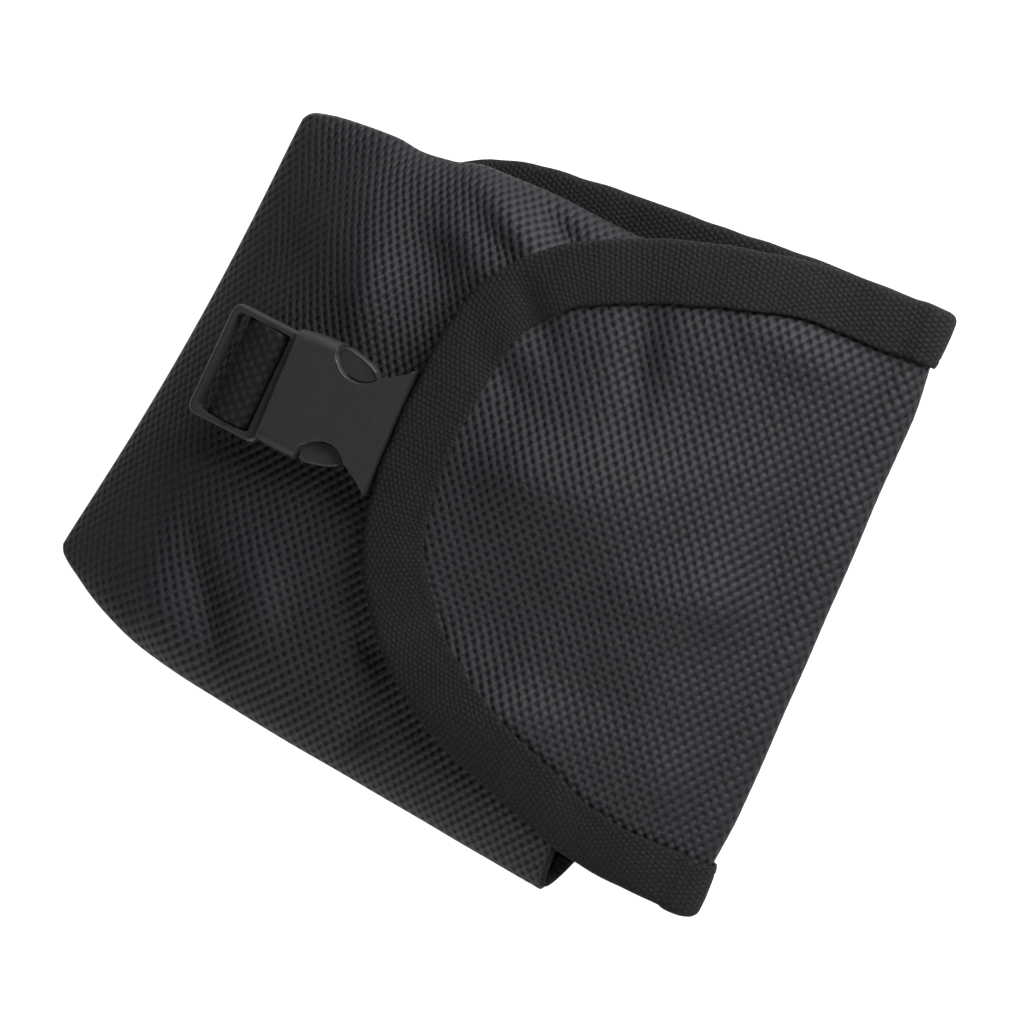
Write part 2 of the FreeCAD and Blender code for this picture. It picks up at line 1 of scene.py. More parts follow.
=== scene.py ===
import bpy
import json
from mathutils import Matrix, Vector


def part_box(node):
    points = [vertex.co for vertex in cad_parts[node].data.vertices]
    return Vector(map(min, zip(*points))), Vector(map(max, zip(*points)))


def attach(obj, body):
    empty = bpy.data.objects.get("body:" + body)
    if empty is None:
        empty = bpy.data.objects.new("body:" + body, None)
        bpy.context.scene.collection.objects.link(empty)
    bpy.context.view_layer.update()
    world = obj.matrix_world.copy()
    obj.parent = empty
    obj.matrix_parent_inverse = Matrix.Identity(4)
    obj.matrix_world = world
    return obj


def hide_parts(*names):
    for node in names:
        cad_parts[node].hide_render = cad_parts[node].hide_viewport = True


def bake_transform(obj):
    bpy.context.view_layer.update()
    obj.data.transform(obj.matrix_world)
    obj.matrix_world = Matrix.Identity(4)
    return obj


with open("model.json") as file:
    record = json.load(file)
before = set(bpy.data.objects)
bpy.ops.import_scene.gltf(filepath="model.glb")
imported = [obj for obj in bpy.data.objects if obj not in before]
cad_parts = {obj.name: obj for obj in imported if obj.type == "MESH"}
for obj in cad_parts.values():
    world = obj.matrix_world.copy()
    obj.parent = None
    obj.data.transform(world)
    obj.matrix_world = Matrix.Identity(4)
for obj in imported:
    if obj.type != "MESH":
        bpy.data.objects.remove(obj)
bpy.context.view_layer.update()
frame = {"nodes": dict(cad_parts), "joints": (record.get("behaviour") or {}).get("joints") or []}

import json
import math

import bmesh
import bpy
from mathutils import Matrix, Vector, noise

# Soft weight pocket for a dive belt, lying on its back. Lengths in this script are in
# millimetres, and MM turns them into metres. X runs across the pocket, +Y points to the
# fold at its top, +Z points out of its front.

MM = 0.001


def extent(node, axis):
    """Lowest and highest value of a CAD node along an axis, in millimetres."""
    low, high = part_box(node)
    return low[axis] / MM, high[axis] / MM


def spans(node):
    """A CAD node's extents along X, Y and Z, in millimetres."""
    return [extent(node, axis) for axis in range(3)]


# ---------- places from the frame

BACK_LOW, BACK_HIGH = extent("back_panel", 2)
BACK_MID = (BACK_LOW + BACK_HIGH) / 2
CLOTH = BACK_HIGH - BACK_LOW
BOTTOM_Y = extent("back_panel", 1)[0]
PANEL_HALF = extent("flap_panel", 0)[1]
FOLD_OUT_Y = extent("flap_panel", 1)[1]
CROWN_Z = extent("pouch_shell", 2)[1]
MOUTH_Y = extent("mouth_hem", 1)[1]
TIP_Y = extent("flap_panel", 1)[0]
TIP_Z = extent("flap_panel", 2)[1] - CLOTH / 2
FOLD_JOINT = next(joint for joint in frame["joints"] if joint["name"] == "flap_fold")
HINGE_Y, HINGE_Z = (value / MM for value in FOLD_JOINT["pos_m"][1:])
SOCKET, MALE, STRAP = spans("buckle_socket"), spans("buckle_male"), spans("male_strap")
SIDES = ("left", "right")
LOOPS = {side: spans("belt_loop_" + side) for side in SIDES}
TABS = {side: spans("latch_" + side) for side in SIDES}
# Where the socket's mouth meets the male half.
SEAM_Y = SOCKET[1][0]

# The fold is half an ellipse round the hinge's line: half its height, its reach along Y, and
# how much further it bulges between its bound sides.
FOLD_RISE = HINGE_Z - BACK_MID
FOLD_REACH = FOLD_OUT_Y - HINGE_Y - CLOTH / 2 + 1
FOLD_BULGE = 1.5
# Binding tape: its thickness, and its width on each face low down on the back, at the sides
# and round the flap's tip.
TAPE_THICK = 0.85
LOW_TAPE_WIDE = 8.2
TAPE_WIDE = 12.8
TIP_TAPE_WIDE = 14.6
# Webbing: thickness of the buckle's and of the belt loops', how far its edges curl, and the
# length of a loop's sewn tail.
WEB_THICK = 1.2
LOOP_THICK = 1.5
CURL = 0.25
LOOP_TAIL = 15.5
# The male half's bar and the webbing's clearance round it, and how far the male half is
# turned, in degrees, and shifted in plan.
BAR_R = 1.6
BAR_GAP = 0.1
MALE_BAR_Y = SEAM_Y - 5.2
MALE_BAR_Z = STRAP[2][1] - BAR_R - WEB_THICK - BAR_GAP
MALE_TURN = -2.6
MALE_SHIFT = (1.4, -0.9)

# ---------- small helpers


def mix(a, b, share):
    return a + (b - a) * share


def smooth(low, high, value):
    """0 below low, 1 above high, with a soft passage between."""
    share = min(max((value - low) / (high - low), 0), 1)
    return share * share * (3 - 2 * share)


def curve_through(stations, value):
    """A smooth line through (place, amount) stations, by monotone cubic pieces."""
    if value <= stations[0][0]:
        return stations[0][1]
    if value >= stations[-1][0]:
        return stations[-1][1]
    count = len(stations)
    index = next(i for i in range(count - 1) if value <= stations[i + 1][0])

    def rise(i):
        return (stations[i + 1][1] - stations[i][1]) / (stations[i + 1][0] - stations[i][0])

    def slope(i):
        if i in (0, count - 1):
            return rise(min(i, count - 2))
        before, after = rise(i - 1), rise(i)
        return 0 if before * after <= 0 else 2 * before * after / (before + after)

    (x0, y0), (x1, y1) = stations[index], stations[index + 1]
    width = x1 - x0
    share = (value - x0) / width
    square, cube = share**2, share**3
    return (
        (2 * cube - 3 * square + 1) * y0
        + (cube - 2 * square + share) * width * slope(index)
        + (3 * square - 2 * cube) * y1
        + (cube - square) * width * slope(index + 1)
    )


def wobble(x, y, scale, seed=0):
    """Smooth noise from -1 to 1 over the plan, with lumps about this size."""
    return noise.noise(Vector((x / scale, y / scale, seed)))


def lengths_along(points):
    """Distance from the first point of a line to each of its points."""
    lengths = [0]
    for first, second in zip(points, points[1:]):
        lengths.append(lengths[-1] + math.dist(first, second))
    return lengths


def arc(centre, radius, start, end, steps):
    """Points of an arc in a plane, angles in degrees."""
    points = []
    for i in range(steps + 1):
        angle = math.radians(mix(start, end, i / steps))
        points.append((centre[0] + radius * math.cos(angle), centre[1] + radius * math.sin(angle)))
    return points


def new_piece(name, points, faces, uvs=()):
    """An object from points in millimetres. With a UV per point, it is shaded smooth."""
    mesh = bpy.data.meshes.new(name)
    mesh.from_pydata([Vector(point) * MM for point in points], [], faces)
    if uvs:
        layer = mesh.uv_layers.new(name="UVMap")
        for loop in mesh.loops:
            layer.data[loop.index].uv = uvs[loop.vertex_index]
        mesh.shade_smooth()
    piece = bpy.data.objects.new(name, mesh)
    bpy.context.scene.collection.objects.link(piece)
    return piece


def joined(rows):
    return [item for row in rows for item in row]


def grid_mesh(name, rows, uvs):
    """A sheet from rows of points, with a UV in millimetres per point."""
    width = len(rows[0])
    faces = []
    for i in range(len(rows) - 1):
        for j in range(width - 1):
            k = i * width + j
            faces.append((k, k + 1, k + width + 1, k + width))
    return new_piece(name, joined(rows), faces, joined(uvs))


def settle(piece):
    """Applies every modifier of a piece to its mesh."""
    depsgraph = bpy.context.evaluated_depsgraph_get()
    mesh = bpy.data.meshes.new_from_object(piece.evaluated_get(depsgraph))
    piece.modifiers.clear()
    piece.data = mesh


def thicken(piece, thickness, offset=0):
    """Gives a sheet its thickness: to both sides, or with an offset of 1 or -1 to one side."""
    wall = piece.modifiers.new("thickness", "SOLIDIFY")
    wall.thickness = thickness * MM
    wall.offset = offset
    wall.use_even_offset = False
    wall.use_rim = True
    settle(piece)


def set_askew(piece):
    """Turns and shifts a piece of the male half in plan: it sits loosely in the socket's mouth."""
    pivot = Matrix.Translation(Vector((0, SEAM_Y, 0)) * MM)
    turn = Matrix.Rotation(math.radians(MALE_TURN), 4, "Z")
    shift = Matrix.Translation(Vector((*MALE_SHIFT, 0)) * MM)
    piece.data.transform(shift @ pivot @ turn @ pivot.inverted())


def finish_piece(piece, material, replaced=(), body=None):
    """Material, the CAD nodes it stands for, and its body."""
    piece.data.materials.clear()
    piece.data.materials.append(material)
    if replaced:
        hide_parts(*replaced)
    if body:
        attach(piece, body)
    return piece


# ---------- materials


class Nodes:
    """Shorthand for a material's node tree."""

    def __init__(self, name):
        self.material = bpy.data.materials.new(name)
        self.material.use_nodes = True
        self.tree = self.material.node_tree
        self.shader = self.tree.nodes["Principled BSDF"]

    def add(self, kind, **settings):
        node = self.tree.nodes.new(kind)
        for key, value in settings.items():
            setattr(node, key, value)
        return node

    def link(self, source, target):
        self.tree.links.new(source, target)

    def feed(self, target, value):
        if isinstance(value, bpy.types.NodeSocket):
            self.link(value, target)
        else:
            target.default_value = value

    def operate(self, operation, *values):
        node = self.add("ShaderNodeMath", operation=operation)
        for target, value in zip(node.inputs, values):
            self.feed(target, value)
        return node.outputs[0]

    def spread(self, value, low, high, to_low, to_high):
        """A value between low and high, stretched to another range and held within it."""
        node = self.add("ShaderNodeMapRange")
        for target, number in zip(node.inputs, (value, low, high, to_low, to_high)):
            self.feed(target, number)
        return node.outputs[0]

    def lumps(self, coordinate, scale, detail=2, roughness=0.5):
        """Noise with this many lumps to each unit of the coordinate."""
        node = self.add("ShaderNodeTexNoise")
        node.inputs["Scale"].default_value = scale
        node.inputs["Detail"].default_value = detail
        node.inputs["Roughness"].default_value = roughness
        self.link(coordinate, node.inputs["Vector"])
        return node.outputs["Fac"]

    def uv_axes(self):
        """The UV map's two lengths, in millimetres, and the map itself."""
        coordinate = self.add("ShaderNodeTexCoord").outputs["UV"]
        parts = self.add("ShaderNodeSeparateXYZ")
        self.link(coordinate, parts.inputs[0])
        return parts.outputs[0], parts.outputs[1], coordinate

    def place(self):
        """The object's own coordinates, in metres."""
        return self.add("ShaderNodeTexCoord").outputs["Object"]

    def plus(self, first, second):
        return self.operate("ADD", first, second)

    def times(self, first, second):
        return self.operate("MULTIPLY", first, second)

    def sine(self, length, half_wave):
        """A sine that changes sign every half wave."""
        return self.operate("SINE", self.times(length, math.pi / half_wave))

    def colour(self, share, dark, light):
        node = self.add("ShaderNodeMix", data_type="RGBA")
        self.feed(node.inputs["Factor"], share)
        node.inputs["A"].default_value = (*dark, 1)
        node.inputs["B"].default_value = (*light, 1)
        self.link(node.outputs["Result"], self.shader.inputs["Base Color"])

    def roughen(self, value):
        self.link(value, self.shader.inputs["Roughness"])

    def bump(self, height, deep, strength=1):
        """Relief that rises this many millimetres for a height of 1."""
        node = self.add("ShaderNodeBump")
        node.inputs["Strength"].default_value = strength
        node.inputs["Distance"].default_value = deep * MM
        self.link(height, node.inputs["Height"])
        self.link(node.outputs["Normal"], self.shader.inputs["Normal"])

    def set(self, **values):
        """Constants on the shader's own sockets."""
        for key, value in values.items():
            self.shader.inputs[key.replace("_", " ")].default_value = value


def woven(name, across, along, dark, light, deep, sheen, roughness):
    """Plain weave of thick yarns, a round hollow at every second crossing, painted shade in the
    hollows.
    """
    nodes = Nodes(name)
    u, v, uv = nodes.uv_axes()
    drift = nodes.spread(nodes.lumps(uv, 0.35), 0.3, 0.7, -0.16, 0.16)
    u = nodes.plus(u, drift)
    v = nodes.plus(v, nodes.times(drift, 0.6))
    crossing = nodes.times(nodes.sine(u, across), nodes.sine(v, along))
    hollow = nodes.spread(crossing, -1, 1, 1, 0)
    height = nodes.operate("SUBTRACT", 1, nodes.operate("POWER", hollow, 2))
    strands = nodes.sine(nodes.plus(u, v), 0.165)
    fuzz = nodes.lumps(uv, 3.1, 3, 0.6)
    fine = nodes.plus(height, nodes.times(strands, 0.03))
    fine = nodes.plus(fine, nodes.times(fuzz, 0.12))
    patches = nodes.spread(nodes.lumps(uv, 0.045, 3, 0.55), 0.3, 0.7, 0.85, 1.1)
    # The colour follows the relief: darker in the hollows as painted shade, times the cloth's own
    # uneven patches.
    hollow_shade_and_patches = nodes.times(nodes.spread(height, 0, 0.95, 0, 1), patches)
    nodes.colour(hollow_shade_and_patches, dark, light)
    nodes.bump(fine, deep)
    nodes.roughen(nodes.spread(height, 0, 1, roughness + 0.15, roughness - 0.05))
    nodes.set(Sheen_Weight=sheen, Sheen_Roughness=0.4, Sheen_Tint=(0.92, 0.92, 1, 1))
    nodes.set(Specular_IOR_Level=0.11)
    return nodes.material


def ribbed(name, rib, cross, yarn_share, dark, light, deep, sheen):
    """Tape or webbing: ribs across its length, each broken into small yarns, with painted shade in
    the grooves.
    """
    nodes = Nodes(name)
    length, width, uv = nodes.uv_axes()
    drift = nodes.spread(nodes.lumps(uv, 0.5), 0.3, 0.7, -0.28, 0.28)
    rib_wave = nodes.sine(nodes.plus(length, drift), rib)
    yarns = nodes.times(rib_wave, nodes.sine(width, cross))
    ribs = nodes.times(nodes.operate("ABSOLUTE", rib_wave), 1.05 - yarn_share)
    height = nodes.plus(nodes.spread(yarns, -1, 1, 0, yarn_share), ribs)
    fuzz = nodes.lumps(uv, 3.6, 3, 0.65)
    patches = nodes.spread(nodes.lumps(uv, 0.08, 3, 0.6), 0.3, 0.7, 0.8, 1.1)
    specks = nodes.spread(fuzz, 0.4, 0.65, 0.7, 1.35)
    # The colour follows the relief: darker in the grooves as painted shade, times the tape's own
    # uneven patches and specks.
    hollow_shade_and_patches = nodes.times(nodes.spread(height, 0.1, 1.1, 0, 1), patches)
    nodes.colour(nodes.times(hollow_shade_and_patches, specks), dark, light)
    nodes.bump(nodes.plus(height, nodes.times(fuzz, 0.8)), deep)
    nodes.set(Roughness=0.8, Sheen_Weight=sheen, Sheen_Roughness=0.5, Sheen_Tint=(1, 0.98, 0.94, 1))
    nodes.set(Specular_IOR_Level=0.1)
    return nodes.material


def moulded(name, base, worn, roughness):
    """Matt moulded plastic: fine texture, soft scuffs and edges a little lighter."""
    nodes = Nodes(name)
    place = nodes.place()
    grain = nodes.lumps(place, 5200)
    clouds = nodes.spread(nodes.lumps(place, 160, 3), 0.3, 0.7, 0, 0.25)
    scuffs = nodes.lumps(place, 900, 5, 0.7)
    pointy = nodes.add("ShaderNodeNewGeometry").outputs["Pointiness"]
    edge = nodes.spread(pointy, 0.53, 0.62, 0, 0.7)
    wear = nodes.times(edge, nodes.spread(scuffs, 0.35, 0.65, 0.3, 1))
    nodes.colour(nodes.plus(nodes.times(wear, 0.6), clouds), base, worn)
    nodes.roughen(nodes.spread(scuffs, 0.3, 0.7, roughness - 0.05, roughness + 0.07))
    nodes.bump(grain, 0.012, 0.8)
    nodes.set(Specular_IOR_Level=0.24)
    return nodes.material


def threadlike(name, dark, light):
    """Twisted sewing thread."""
    nodes = Nodes(name)
    length, around, _ = nodes.uv_axes()
    twist = nodes.sine(nodes.plus(length, around), 0.2)
    nodes.colour(nodes.spread(twist, -1, 1, 0, 1), dark, light)
    nodes.bump(twist, 0.05)
    nodes.set(Roughness=0.85, Specular_IOR_Level=0.1)
    return nodes.material


def lacquered(name, base, worn):
    """Black lacquered brass, worn bright in a few specks."""
    nodes = Nodes(name)
    place = nodes.place()
    specks = nodes.lumps(place, 2600, 4, 0.7)
    nodes.colour(nodes.spread(specks, 0.62, 0.70, 0, 0.5), base, worn)
    nodes.roughen(nodes.spread(specks, 0.3, 0.7, 0.28, 0.42))
    nodes.bump(nodes.lumps(place, 1500), 0.01, 0.5)
    nodes.set(Specular_IOR_Level=0.5, Coat_Weight=0.3, Coat_Roughness=0.3)
    return nodes.material


cloth_look = woven(
    "pocket_cloth", across=1.75, along=1.27, dark=(0.0013, 0.0013, 0.0017),
    light=(0.0092, 0.0092, 0.0112), deep=0.50, sheen=0.0012, roughness=0.54,
)
tape_look = ribbed(
    "binding_tape", rib=1.3, cross=0.62, yarn_share=0.62, dark=(0.0010, 0.0010, 0.0009),
    light=(0.0082, 0.0082, 0.0076), deep=0.50, sheen=0.002,
)
webbing_look = ribbed(
    "strap_webbing", rib=1.6, cross=1.5, yarn_share=0.85, dark=(0.0009, 0.0009, 0.0008),
    light=(0.0085, 0.0084, 0.0080), deep=0.75, sheen=0.002,
)
thread_look = threadlike("sewing_thread", dark=(0.002, 0.002, 0.002), light=(0.008, 0.008, 0.0085))
buckle_look = moulded(
    "buckle_plastic", base=(0.0092, 0.0092, 0.0097), worn=(0.0125, 0.0125, 0.013), roughness=0.46
)
tab_look = moulded(
    "tab_plastic", base=(0.011, 0.011, 0.0115), worn=(0.020, 0.020, 0.0205), roughness=0.38
)
eyelet_look = lacquered("eyelet_lacquer", base=(0.012, 0.012, 0.012), worn=(0.25, 0.17, 0.07))

# ---------- back panel, fold and flap

# Down the flap's middle: place along Y and height of the cloth.
FLAP_MIDDLE = [
    (TIP_Y, TIP_Z - 0.3), (-8, TIP_Z - 0.4), (10, TIP_Z - 1.25), (30, TIP_Z - 2.45),
    (45, TIP_Z - 4.65), (56, TIP_Z - 7.25), (66, TIP_Z - 10.65), (75, TIP_Z - 14.45),
    (HINGE_Y, HINGE_Z + FOLD_RISE),
]
# How far the flap's sides hang below its middle, more on the right than on the left, and how
# late and steeply they roll down.
LEFT_HANG, RIGHT_HANG = 0.9, 1.1
HANG_POWER = 4.5
FLAP_DROP = [(TIP_Y, 4), (0, 6), (30, 6.6), (56, 5.6), (70, 2.6), (HINGE_Y, 0)]
# The bound edge of the flap: angle round a point on its middle line, from the side towards
# the tip, and distance from that point.
FLAP_CENTRE_Y = 30
LEFT_EDGE = [
    (-36, 96), (-30, 88.8), (-19.8, 80.9), (-5.6, 72.4), (13.4, 66.6), (30, 64.2),
    (38.7, 62.7), (48.7, 60.2), (63.6, 54.6), (76, 51.2), (90, 49.9),
]
RIGHT_EDGE = [
    (-36, 95.4), (-30, 88.6), (-20.1, 80.6), (-9.5, 71.6), (0, 66.6), (9.9, 63.1),
    (21.2, 60.6), (36.6, 57.6), (52, 55), (66.4, 52.7), (76, 51), (90, 49.9),
]
# The bound edge of the back panel: place along Y and distance from the middle line.
BACK_EDGE = [
    (BOTTOM_Y, 58), (-60, 60.5), (-46, 64.6), (-35, 69.2), (-25, 71.5), (-15, 72.9),
    (0, 74.1), (20, 75.2), (35, 75.9), (50, 77), (62, 77.2), (HINGE_Y, 77.5),
]
# The bottom hangs askew: it is this much longer on the right for each millimetre across,
# and it is drawn in between its corners.
BOTTOM_SKEW = 0.128
BOTTOM_HALF = 62
BOTTOM_DRAWN_IN = 2.9
# Soft folds: middle x and y, direction in degrees from X, half length, half width and height.
FLAP_FOLDS = [
    (-5, 20, 98, 22, 12, 4.2), (31, 17, 112, 26, 11, -2.8), (53, 27, 122, 17, 7, 2.4),
    (7, 62, 110, 15, 9, 2.4), (38, 44, 100, 16, 8, -1.8), (50, 73, 95, 12, 8, 2.2),
    (-12, 74, 5, 20, 6.5, -1.8), (-40, 27, 15, 14, 5, -1.7), (-56, 58, 80, 14, 6, 1.6),
    (-40, -1, 45, 9, 4, -1.6), (-24, -3, 60, 9, 5, -1.4), (-34, 50, 100, 20, 9, -1),
]


def folds(x, y, table):
    """Height that a table of soft folds adds at a place."""
    height = 0
    for middle_x, middle_y, heading, long, wide, rise in table:
        turn = math.radians(heading)
        along = (x - middle_x) * math.cos(turn) + (y - middle_y) * math.sin(turn)
        off = (y - middle_y) * math.cos(turn) - (x - middle_x) * math.sin(turn)
        height += rise * math.exp(-((along / long) ** 2) - (off / wide) ** 2)
    return height


def flap_outline(edge, side):
    """Points of the flap's bound edge on one side, from the fold to the tip."""
    points = [(side * curve_through(BACK_EDGE, HINGE_Y), HINGE_Y)]
    steps = 90
    for i in range(steps + 1):
        angle = mix(-33, 90, i / steps)
        reach = curve_through(edge, angle)
        x = side * reach * math.cos(math.radians(angle))
        points.append((x, FLAP_CENTRE_Y - reach * math.sin(math.radians(angle))))
    return points


OUTLINES = {-1: flap_outline(LEFT_EDGE, -1), 1: flap_outline(RIGHT_EDGE, 1)}


def flap_side(side, y):
    """Where the flap's bound edge is, on one side, at a place along it."""
    points = OUTLINES[side]
    for (x0, y0), (x1, y1) in zip(points, points[1:]):
        if y1 <= y <= y0:
            share = (y0 - y) / (y0 - y1) if y0 > y1 else 0
            return mix(x0, x1, share)
    return points[-1][0] if y < points[-1][1] else points[0][0]


def flap_z(x, y):
    """Height of the flap's cloth, with its slack."""
    side = min(abs(x) / PANEL_HALF, 1.05)
    drop = curve_through(FLAP_DROP, y)
    hang = RIGHT_HANG if x > 0 else LEFT_HANG
    loose = smooth(HINGE_Y, HINGE_Y - 14, y)
    height = curve_through(FLAP_MIDDLE, y) - drop * hang * side**HANG_POWER
    rumple = 0.5 * wobble(x, y, 22, 3.1) + 0.25 * wobble(x, y, 9, 8.3)
    return height + loose * (folds(x, y, FLAP_FOLDS) + rumple)


def askew(x, y):
    """How far the hanging bottom moves a point along Y."""
    drawn = BOTTOM_DRAWN_IN * (1 - min(abs(x) / BOTTOM_HALF, 1.1) ** 2) * smooth(-55, -80, y)
    return smooth(-10, -75, y) * (0.2 - BOTTOM_SKEW * x + drawn)


# Distances along the cloth: the back panel, the fold, the flap, and where the flap starts.
BACK_RUN = HINGE_Y - BOTTOM_Y
FOLD_RUN = math.pi * FOLD_REACH
FLAP_RUN = HINGE_Y - OUTLINES[1][-1][1]
FLAP_START = BACK_RUN + FOLD_RUN


def cloth_point(x, run):
    """A point of the one cloth that is back panel, fold and flap, by its distance along it."""
    if run <= BACK_RUN:
        y = BOTTOM_Y + run
        return Vector((x, y + askew(x, y), BACK_MID))
    if run <= FLAP_START:
        angle = (run - BACK_RUN) / FOLD_REACH - math.pi / 2
        sway = 0.3 * wobble(x, 0, 22, 5) + FOLD_BULGE * smooth(70, 50, abs(x))
        reach = FOLD_REACH + sway
        return Vector((x, HINGE_Y + reach * math.cos(angle), HINGE_Z + FOLD_RISE * math.sin(angle)))
    y = HINGE_Y - (run - FLAP_START)
    return Vector((x, y, flap_z(x, y)))


def cloth_sides(run):
    """The bound edge's places on the left and right, by the distance along the cloth."""
    if run <= FLAP_START:
        half = curve_through(BACK_EDGE, min(BOTTOM_Y + run, HINGE_Y))
        return -half, half
    y = HINGE_Y - (run - FLAP_START)
    return flap_side(-1, y), flap_side(1, y)


def cloth_normal(x, run):
    """Square to the cloth, outwards from the pocket's front or from its back."""
    along = cloth_point(x, run + 0.5) - cloth_point(x, run - 0.5)
    across = cloth_point(x + 0.5, run) - cloth_point(x - 0.5, run)
    return along.cross(across).normalized()


def make_cloth():
    """Back panel, fold and flap in one cloth, just short of the tape's outer edge."""
    short = 0.9
    back_rows, fold_rows, flap_rows, tip_rows, columns = 60, 16, 64, 24, 110
    stations = [BACK_RUN * i / back_rows for i in range(back_rows)]
    stations += [BACK_RUN + FOLD_RUN * i / fold_rows for i in range(fold_rows)]
    # The rows get closer together towards the flap's tip, where the outline turns across.
    tip_run = 22.5
    last = FLAP_START + FLAP_RUN - 1.5
    stations += [mix(FLAP_START, last - tip_run, i / flap_rows) for i in range(flap_rows)]
    stations += [last - tip_run * (1 - i / tip_rows) ** 2 for i in range(tip_rows + 1)]
    rows, uvs = [], []
    for run in stations:
        left, right = (side - math.copysign(short, side) for side in cloth_sides(run))
        across = [mix(left, right, j / columns) for j in range(columns + 1)]
        rows.append([cloth_point(x, run) for x in across])
        uvs.append([(x, run) for x in across])
    piece = grid_mesh("cloth_back_and_flap", rows, uvs)
    thicken(piece, CLOTH)
    finish_piece(piece, cloth_look, ("back_panel", "flap_panel"))
    turn_at_fold(piece)


def turn_at_fold(piece):
    """Bakes the piece's placement into its mesh."""
    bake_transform(piece)


def rim_path():
    """The bound edge, from the back panel's lower left corner round the flap to the right."""
    left = []
    run = 4
    while run < FLAP_START:
        left.append((-curve_through(BACK_EDGE, min(BOTTOM_Y + run, HINGE_Y)), run))
        run += 1
    right = [(-x, run) for x, run in reversed(left)]
    flap = [(x, FLAP_START + HINGE_Y - y) for x, y in OUTLINES[-1]]
    flap += [(x, FLAP_START + HINGE_Y - y) for x, y in reversed(OUTLINES[1][:-1])]
    return left + flap + right


def even_path(spots, step):
    """The same path with its points evenly spaced, and the distance along it."""
    lengths = lengths_along(spots)
    count = int(lengths[-1] / step)
    even, index = [], 0
    for i in range(count + 1):
        want = lengths[-1] * i / count
        while index < len(lengths) - 2 and lengths[index + 1] < want:
            index += 1
        gap = lengths[index + 1] - lengths[index]
        share = (want - lengths[index]) / gap if gap > 1e-9 else 0
        (x0, r0), (x1, r1) = spots[index], spots[index + 1]
        even.append((mix(x0, x1, share), mix(r0, r1, share), want))
    return even


def tape_section(width):
    """The folded tape's outline: (distance in from the edge, share of its height)."""
    top = [
        (width, 0.6), (width - 0.5, 0.74), (width - 1.3, 0.88), (width - 2, 0.82),
        (width - 2.7, 0.94), (width * 0.6, 1.06), (width * 0.35, 1.12), (1.6, 1.06),
        (0.9, 0.98), (0.35, 0.72), (0.1, 0.35),
    ]
    return top + [(0, 0)] + [(inwards, -up) for inwards, up in reversed(top)]


def rim_frames(path):
    """For each point of the path: place, distance, the way inwards, width and swelling."""
    count = len(path)
    frames = []
    for i, (x, run, distance) in enumerate(path):
        before, after = path[max(i - 3, 0)], path[min(i + 3, count - 1)]
        heading = Vector((after[0] - before[0], after[1] - before[1])).normalized()
        inward = Vector((heading.y, -heading.x))
        at_fold = smooth(BACK_RUN - 6, BACK_RUN, run) * smooth(FLAP_START + 5, FLAP_START, run)
        tip = smooth(FLAP_START + 20, FLAP_START + 60, run)
        wide = mix(LOW_TAPE_WIDE, TAPE_WIDE, smooth(-45, -33, BOTTOM_Y + run))
        width = mix(wide, TIP_TAPE_WIDE, tip) + 0.4 * wobble(distance, 0, 17, 2)
        puff = 1 + 0.10 * wobble(distance, 0, 12, 4) + 0.05 * at_fold
        edge = 0.35 * wobble(distance, 0, 8, 7)
        frames.append((Vector((x, run)) + inward * edge, distance, inward, width, puff))
    return frames


def make_rim_tape():
    """Binding tape folded round the whole bound edge, and its stitching."""
    path = even_path(rim_path(), 1)
    frames = rim_frames(path)
    rows, uvs = [], []
    half_thick = CLOTH / 2 + TAPE_THICK
    for spot, distance, inward, width, puff in frames:
        row = []
        for inwards, up in tape_section(width):
            place = spot + inward * inwards
            lift = up * half_thick * puff
            row.append(cloth_point(*place) - cloth_normal(*place) * lift)
        rows.append(row)
        uvs.append([(distance, girth) for girth in lengths_along(row)])
    piece = grid_mesh("tape_rim", rows, uvs)
    thicken(piece, TAPE_THICK * 0.9, -1)
    finish_piece(piece, tape_look, ("flap_binding", "back_binding_left", "back_binding_right"))
    turn_at_fold(piece)
    make_rim_stitches(frames, half_thick)


def make_rim_stitches(frames, half_thick):
    """A line of stitches near the tape's inner edge, on both faces."""
    in_from_edge, stride, long = 2, 4, 3
    beads = []
    for start in range(4, len(frames) - 6, stride):
        for face in (1, -1):
            ends = []
            for spot, _, inward, width, puff in (frames[start], frames[start + long]):
                place = spot + inward * (width - in_from_edge)
                lift = face * (half_thick * puff * 0.86 + 0.12)
                ends.append(cloth_point(*place) - cloth_normal(*place) * lift)
            beads.append(ends)
    piece = stitch_mesh("stitch_rim", beads, 0.22)
    turn_at_fold(piece)


def stitch_mesh(name, beads, radius):
    """Short threads, each a little pillow between its two ends."""
    points, faces, uvs = [], [], []
    rings = [(0, 0.35), (0.18, 0.85), (0.5, 1), (0.82, 0.85), (1, 0.35)]
    sides = 6
    for first, second in beads:
        heading = (second - first).normalized()
        helper = Vector((0, 0, 1)) if abs(heading.z) < 0.8 else Vector((1, 0, 0))
        side = heading.cross(helper).normalized()
        up = side.cross(heading)
        base = len(points)
        for share, fat in rings:
            middle = first.lerp(second, share)
            for k in range(sides):
                angle = 2 * math.pi * k / sides
                offset = side * math.cos(angle) + up * math.sin(angle)
                points.append(middle + offset * radius * fat)
                uvs.append((share * (second - first).length, radius * angle))
        for i in range(len(rings) - 1):
            low, high = base + i * sides, base + (i + 1) * sides
            for k in range(sides):
                nk = (k + 1) % sides
                faces.append((low + k, high + k, high + nk, low + nk))
        last = base + (len(rings) - 1) * sides
        faces.append(tuple(range(base, base + sides)))
        faces.append(tuple(reversed(range(last, last + sides))))
    return finish_piece(new_piece(name, points, faces, uvs), thread_look)


# ---------- pouch

